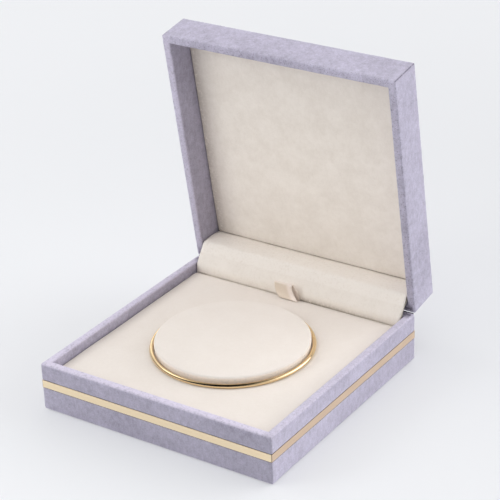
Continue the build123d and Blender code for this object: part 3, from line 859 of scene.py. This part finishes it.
# Painted highlight along the rear top edge, painted warm reflection of the gold on the lower side, and
# painted shade darker towards the front and on the right edge
cushion_edge_highlight, cushion_reflection_share, cushion_shade = [], [], []
for vertex in cushion.data.vertices:
    level = vertex.co.z / MM
    spot = vertex.co / MM - cushion_middle
    radius = math.hypot(spot.x, spot.y)
    rearward = 0.5 + 0.5 * spot.y / cushion_radius
    rightward = max(0.0, spot.x / cushion_radius)
    top_edge = nearness(abs(radius - cushion_radius + 0.3), 0.5) if level > cushion_edge_level - 0.3 else 0.0
    below_edge = (cushion_edge_level - 0.15 - level) / 0.8
    cushion_edge_highlight.append(1.5 * top_edge * rearward)
    cushion_reflection_share.append(min(0.9, max(0.0, below_edge)) if radius > cushion_radius * 0.9 else 0.0)
    cushion_shade.append(across_box(-spot.y) + rightward * nearness(abs(radius - cushion_radius + 0.2), 0.7))
point_values(cushion, "painted_light", cushion_edge_highlight)
point_values(cushion, "seam_and_shade", cushion_reflection_share)
point_values(cushion, "shade", cushion_shade)
cushion.data.materials.append(cushion_velvet)
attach(cushion, "insert")
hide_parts("cushion_velvet")

# Bangle
wire_radius = (bangle_high.z - bangle_low.z) / 2
bangle_middle = (bangle_low + bangle_high) / 2
ring_radius = (bangle_high.x - bangle_low.x) / 2 - wire_radius
bangle_rows, bangle_columns = 40, 400
bangle_points = []
for c in range(bangle_columns):
    turn = 2 * math.pi * c / bangle_columns
    for r in range(bangle_rows):
        around = 2 * math.pi * r / bangle_rows
        reach = ring_radius + wire_radius * math.cos(around)
        bangle_points.append((bangle_middle.x + reach * math.cos(turn),
                              bangle_middle.y + reach * math.sin(turn),
                              bangle_middle.z + wire_radius * math.sin(around)))
bangle_faces = [
    (c * bangle_rows + r, (c + 1) % bangle_columns * bangle_rows + r,
     (c + 1) % bangle_columns * bangle_rows + (r + 1) % bangle_rows, c * bangle_rows + (r + 1) % bangle_rows)
    for c in range(bangle_columns) for r in range(bangle_rows)
]
bangle = smooth_mesh("gold_bangle", bangle_points, bangle_faces)
bangle.data.materials.append(bangle_gold)
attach(bangle, "bangle")
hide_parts("bangle")


# Sheets that follow a profile in the YZ plane
def smooth_line(points, step):
    """A smooth line through (y, z) points, as evenly spaced points."""
    padded = [2 * Vector(points[0]) - Vector(points[1])] + [Vector(p) for p in points]
    padded.append(2 * Vector(points[-1]) - Vector(points[-2]))
    fine = []
    for k in range(1, len(padded) - 2):
        p0, p1, p2, p3 = padded[k - 1:k + 3]
        for j in range(20):
            t = j / 20
            fine.append(0.5 * ((2 * p1) + (p2 - p0) * t + (2 * p0 - 5 * p1 + 4 * p2 - p3) * t ** 2
                               + (3 * p1 - p0 - 3 * p2 + p3) * t ** 3))
    fine.append(Vector(points[-1]))
    lengths = np.concatenate([[0], np.cumsum([(b - a).length for a, b in zip(fine, fine[1:])])])
    count = max(2, int(lengths[-1] / step) + 1)
    even = np.linspace(0, lengths[-1], count)
    return [Vector((np.interp(s, lengths, [p.x for p in fine]), np.interp(s, lengths, [p.y for p in fine])))
            for s in even]


def thick_sheet(name, line, ends, thickness, columns, lift=None):
    """A sheet along a line in the YZ plane, between (left, right) ends, with thickness behind its face."""
    rows = len(line)
    normals = []
    for k in range(rows):
        run = (line[min(k + 1, rows - 1)] - line[max(k - 1, 0)]).normalized()
        normals.append(Vector((run.y, -run.x)))
    points = []
    for depth in (0.0, 1.0):
        for k, (place, normal, (left, right)) in enumerate(zip(line, normals, ends)):
            for c in range(columns):
                share = c / (columns - 1)
                x = left + (right - left) * share
                edge = min(x - left, right - x, k * 0.5, (rows - 1 - k) * 0.5)
                thin = 0.5 * thickness * nearness(edge, 0.4) * 0.6
                behind = thin if depth == 0 else thickness - thin
                out = lift(x, k) if lift and depth == 0 else 0.0
                spot = place + normal * (behind - out)
                points.append((x, spot.x, spot.y))
    front = rows * columns
    faces = []
    for k in range(rows - 1):
        for c in range(columns - 1):
            a, b = k * columns + c, k * columns + c + 1
            faces.append((a, b, b + columns, a + columns))
            faces.append((front + a, front + a + columns, front + b + columns, front + b))
    for k in range(rows - 1):
        for c in (0, columns - 1):
            a = k * columns + c
            faces.append((a, a + columns, front + a + columns, front + a))
    for c in range(columns - 1):
        for k in (0, rows - 1):
            a = k * columns + c
            faces.append((a, a + 1, front + a + 1, front + a))
    return smooth_mesh(name, points, faces)


# Hinge cover: one velvet sheet curves from the lid over the fold down behind the insert; its foot, a separate
# piece below it, rides on the lower cover
cover_thickness = 0.45
cover_line = smooth_line([
    (44.3, 15.3), (44.31, 15.8), (44.33, 16.4), (44.36, 17.3), (44.46, 18.5), (44.95, 19.6), (46.3, 21.5),
    (47.8, 23.6), (49.2, 25.6), (49.7, 26.25), (50.3, 26.72), (51.2, 26.95), (53.6, 27.1), (56.6, 27.1),
    (59.2, 26.9), (60.5, 26.74), (61.4, 26.66),
], 0.5)


def cover_lift(x, row):
    """Slow swells of the velvet over its card."""
    return 0.09 * noise.noise(Vector((x * 0.07, row * 0.09, 2.0)))


cover_ends = (-cover_half, cover_half)
hinge_cover = thick_sheet("hinge_cover_velvet", cover_line, [cover_ends] * len(cover_line), cover_thickness,
                          110, cover_lift)
rough_up(hinge_cover, pile_height, pile_scale, 6)
hinge_cover.data.materials.append(velvet)
# Painted light: the cover lighter all over, more on its upper part and less near its foot; painted shadow of
# the tab on its lower part to the tab's right, fading rightwards and upwards
cover_painted_light, cover_tab_shadow = [], []
for vertex in hinge_cover.data.vertices:
    spot = vertex.co / MM
    beside_tab = clamped((spot.x - 0.5) / 2.0) * (1.0 - 0.8 * max(0.0, spot.x) / cover_half)
    cover_painted_light.append(0.5 + 0.4 * (spot.z > 23.0) - 0.35 * (spot.z < 17.0))
    cover_tab_shadow.append(0.55 * beside_tab * clamped((18.2 - spot.z) / 2.4) ** 1.5)
point_values(hinge_cover, "painted_light", cover_painted_light)
point_values(hinge_cover, "seam_and_shade", cover_tab_shadow)
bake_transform(hinge_cover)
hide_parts("cover_upper_velvet", "cover_middle_velvet")

foot_rows = 13
foot_line = [Vector((44.36, level)) for level in np.linspace(10.0, 15.2, foot_rows)]
cover_foot = thick_sheet("hinge_cover_foot", foot_line, [cover_ends] * foot_rows, 0.42, 80)
cover_foot.data.materials.append(velvet)
# Painted light on the foot, as on the cover
point_values(cover_foot, "painted_light", [0.6] * len(cover_foot.data.vertices))
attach(cover_foot, "cover_lower")
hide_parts("cover_lower_velvet")

# A dark lining strip on the base's rear rim, beside and between the hinges, closes the joint: a dark sheet
# put in the slit as painted shade
slit_strip_rows = 7
slit_strip_levels = np.linspace(base_high.z - 1.6, base_high.z + 0.25, slit_strip_rows)
slit_strip_line = [Vector((half_width + 0.27, level)) for level in slit_strip_levels]
notch_near, notch_far = notch_centre - notch_reach - 0.2, notch_centre + notch_reach + 0.2
slit_strip_end = half_width - 0.7
slit_strip_ends = (("left", -slit_strip_end, -notch_far), ("middle", -notch_near, notch_near),
                ("right", notch_far, slit_strip_end))
for place, left, right in slit_strip_ends:
    slit_strip = thick_sheet(f"slit_shade_strip_{place}", slit_strip_line, [(left, right)] * slit_strip_rows, -0.13, 24)
    slit_strip.data.materials.append(lining)
    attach(slit_strip, "base")

# Pull tab: the ribbon stands up behind the insert, folds forward and hangs down a little askew
tab_thickness = 0.28
tab_left, tab_right = tab_low.x - 0.1, tab_high.x - 0.3
tab_rear_reach = 1.9
tab_foot = insert_high.z
tab_line = smooth_line([
    (43.92, tab_foot - 5.5), (43.9, tab_foot - 0.5), (43.3, tab_foot + 1.6), (42.75, tab_foot + 4.0),
    (42.6, tab_foot + 5.7), (42.45, tab_foot + 6.25), (42.1, tab_foot + 6.3), (41.9, tab_foot + 5.8),
    (41.95, tab_foot + 4.4), (41.9, tab_foot + 2.2), (41.4, tab_foot + 0.35),
], 0.22)
tab_rows = len(tab_line)
tab_fold_row = max(range(tab_rows), key=lambda k: tab_line[k].y)
tab_skew_left, tab_bend_left = 2.5, 3.5
tab_skew_right, tab_bend_right = 2.8, 2.3


def tab_shift(row, skew, bend):
    """How far the front ply has slipped to the right at a row."""
    return skew * max(0.0, (row - tab_fold_row) / (tab_rows - 1 - tab_fold_row)) ** bend


def rear_reach(row):
    """How far the rear ply stands out to the right behind the front one."""
    below_fold = max(0.0, (tab_fold_row - row) / tab_fold_row)
    return tab_rear_reach * min(1.0, below_fold / 0.22)


tab_columns = 40
tab_ends = [(tab_left + tab_shift(k, tab_skew_left, tab_bend_left),
             tab_right + tab_shift(k, tab_skew_right, tab_bend_right) + rear_reach(k))
            for k in range(tab_rows)]
tab = thick_sheet("ribbon_tab", tab_line, tab_ends, tab_thickness, tab_columns)
# Painted highlight on the ribbon: a lit band on the right side and at the fold, and the rear ply lightened
# out of its shade
tab_painted_light = []
for index in range(len(tab.data.vertices)):
    row, column = divmod(index % (tab_rows * tab_columns), tab_columns)
    lit_band = nearness(abs(column / tab_columns - 0.84), 0.22)
    at_fold = nearness(abs(row - tab_fold_row), 2.5)
    tab_painted_light.append(max(at_fold, min(1.0, 1.5 * lit_band)) if row >= tab_fold_row - 2 else 0.7)
point_values(tab, "painted_light", tab_painted_light)
tab.data.materials.append(ribbon)
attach(tab, "insert")
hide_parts("pull_tab")

# Materials of the CAD nodes that stay
node_materials = {
    board: ["base_front_board", "base_rear_board", "base_left_board", "base_right_board", "base_floor_board",
            "lid_front_board", "lid_rear_board", "lid_left_board", "lid_right_board", "lid_roof_board"],
    lining: ["base_floor_lining", "underside_cloth"],
    card: ["lid_pad_card", "cover_upper_card", "cover_middle_card", "cover_lower_card", "insert_risers",
           "insert_platform", "cushion_core"],
    foam: ["insert_foam"],
    strip_gold: ["trim_strip_front", "trim_strip_rear"],
    side_gold: ["trim_strip_right", "trim_strip_left"],
    steel: ["hinge_base_leaves", "hinge_lid_leaves", "hinge_pins", "hinge_springs", "hinge_base_screws",
            "hinge_lid_screws"],
    suede: ["base_suede_wrap", "lid_suede_wrap"],
    velvet: ["insert_velvet", "lid_pad_velvet", "cushion_velvet", "cover_upper_velvet",
             "cover_middle_velvet", "cover_lower_velvet"],
    ribbon: ["pull_tab"],
    bangle_gold: ["bangle"],
}
for material, names in node_materials.items():
    for name in names:
        node = nodes[name]
        node.data.materials.clear()
        node.data.materials.append(material)

strip_bevel = 0.06
for name in node_materials[strip_gold] + node_materials[side_gold]:
    bevel = nodes[name].modifiers.new("soft_edge", "BEVEL")
    bevel.width = strip_bevel * MM
    bevel.segments = 2
    bevel.limit_method = "ANGLE"

# Floor
floor_half = 6.0
floor_mesh = bpy.data.meshes.new("floor")
floor_mesh.from_pydata([(-floor_half, -floor_half, 0), (floor_half, -floor_half, 0),
                        (floor_half, floor_half, 0), (-floor_half, floor_half, 0)], [], [(0, 1, 2, 3)])
floor = bpy.data.objects.new("floor", floor_mesh)
bpy.context.scene.collection.objects.link(floor)
floor_material, floor_tree, floor_shader = new_material("pale_floor")
floor_glow, floor_far_glow = 0.333, 0.12
floor_near, floor_far = 0.16, 0.50
floor_share = 0.61
floor_shader.inputs["Base Color"].default_value = (*(channel * floor_share for channel in floor_colour), 1)
floor_shader.inputs["Emission Color"].default_value = (*floor_colour, 1)
floor_place = floor_tree.nodes.new("ShaderNodeTexCoord")
floor_distance = floor_tree.nodes.new("ShaderNodeVectorMath")
floor_distance.operation = "LENGTH"
floor_tree.links.new(floor_place.outputs["Object"], floor_distance.inputs[0])
floor_strength = ranged_value(floor_tree, floor_distance.outputs["Value"], floor_near, floor_far,
                              floor_glow, floor_glow + floor_far_glow, "SMOOTHSTEP")
floor_tree.links.new(floor_strength, floor_shader.inputs["Emission Strength"])
floor_shader.inputs["Roughness"].default_value = 0.9
floor_shader.inputs["Specular IOR Level"].default_value = 0.1
floor.data.materials.append(floor_material)

# World: soft lobes of light low in the sky, brightest behind on the right, and a small one on the left
world = bpy.data.worlds.new("studio")
bpy.context.scene.world = world
world.use_nodes = True
sky = world.node_tree
sky_place = sky.nodes.new("ShaderNodeTexCoord")
sky_lobes = (
    # azimuth from +X, elevation, sharpness, strength
    (45, 15, 6, 3.85), (135, 13, 6, 1.35), (90, 15, 6, 0.94), (0, 15, 6, 0.78), (188, 45, 22, 2.6),
)
total = 0.0
for azimuth, elevation, sharpness, strength in sky_lobes:
    around, up = math.radians(azimuth), math.radians(elevation)
    towards = sky.nodes.new("ShaderNodeVectorMath")
    towards.operation = "DOT_PRODUCT"
    towards.inputs[1].default_value = (math.cos(up) * math.cos(around), math.cos(up) * math.sin(around),
                                       math.sin(up))
    sky.links.new(sky_place.outputs["Generated"], towards.inputs[0])
    facing = math_value(sky, "MAXIMUM", towards.outputs["Value"], 0.0)
    narrowed = math_value(sky, "POWER", facing, sharpness)
    total = math_value(sky, "MULTIPLY_ADD", narrowed, strength, total)
sky.links.new(total, sky.nodes["Background"].inputs["Strength"])
sky.nodes["Background"].inputs["Color"].default_value = (1, 1, 1, 1)


# Studio lights
light_target = Vector((0, 0, 0.02))


def softbox(name, place, size, power):
    """A square area light in metres and watts that looks at the box and isn't seen in reflections."""
    light = bpy.data.lights.new(name, "AREA")
    light.shape = "SQUARE"
    light.size = size
    light.energy = power
    lamp = bpy.data.objects.new(name, light)
    lamp.location = place
    lamp.rotation_mode = "QUATERNION"
    lamp.rotation_quaternion = (light_target - Vector(place)).to_track_quat("-Z", "Y")
    lamp.visible_glossy = False
    bpy.context.scene.collection.objects.link(lamp)


softbox("left_softbox", (-0.40, -0.45, 0.30), 0.3, 1.25)
softbox("top_softbox", (0, 0.0, 0.6), 0.5, 0.75)
softbox("front_softbox", (0.05, -0.42, 0.52), 0.6, 1.4)

# Camera
yaw, pitch, roll = (math.radians(angle) for angle in (camera_yaw, camera_pitch, camera_roll))
back = Vector((math.sin(yaw) * math.cos(pitch), -math.cos(yaw) * math.cos(pitch), math.sin(pitch)))
level_right = Vector((math.cos(yaw), math.sin(yaw), 0))
level_down = (-back).cross(level_right)
right = level_right * math.cos(roll) + level_down * math.sin(roll)
down = -level_right * math.sin(roll) + level_down * math.cos(roll)
camera_data = bpy.data.cameras.new("camera")
camera_data.sensor_width = sensor_mm
camera_data.lens = focal_px * sensor_mm / picture_px
camera_data.clip_start = 0.05
camera_data.clip_end = 20.0
camera = bpy.data.objects.new("camera", camera_data)
camera_axes = Matrix((right, -down, back)).transposed().to_4x4()
camera.matrix_world = Matrix.Translation(Vector(camera_place) * MM) @ camera_axes
bpy.context.scene.collection.objects.link(camera)
bpy.context.scene.camera = camera
bpy.context.scene.view_settings.view_transform = "Standard"
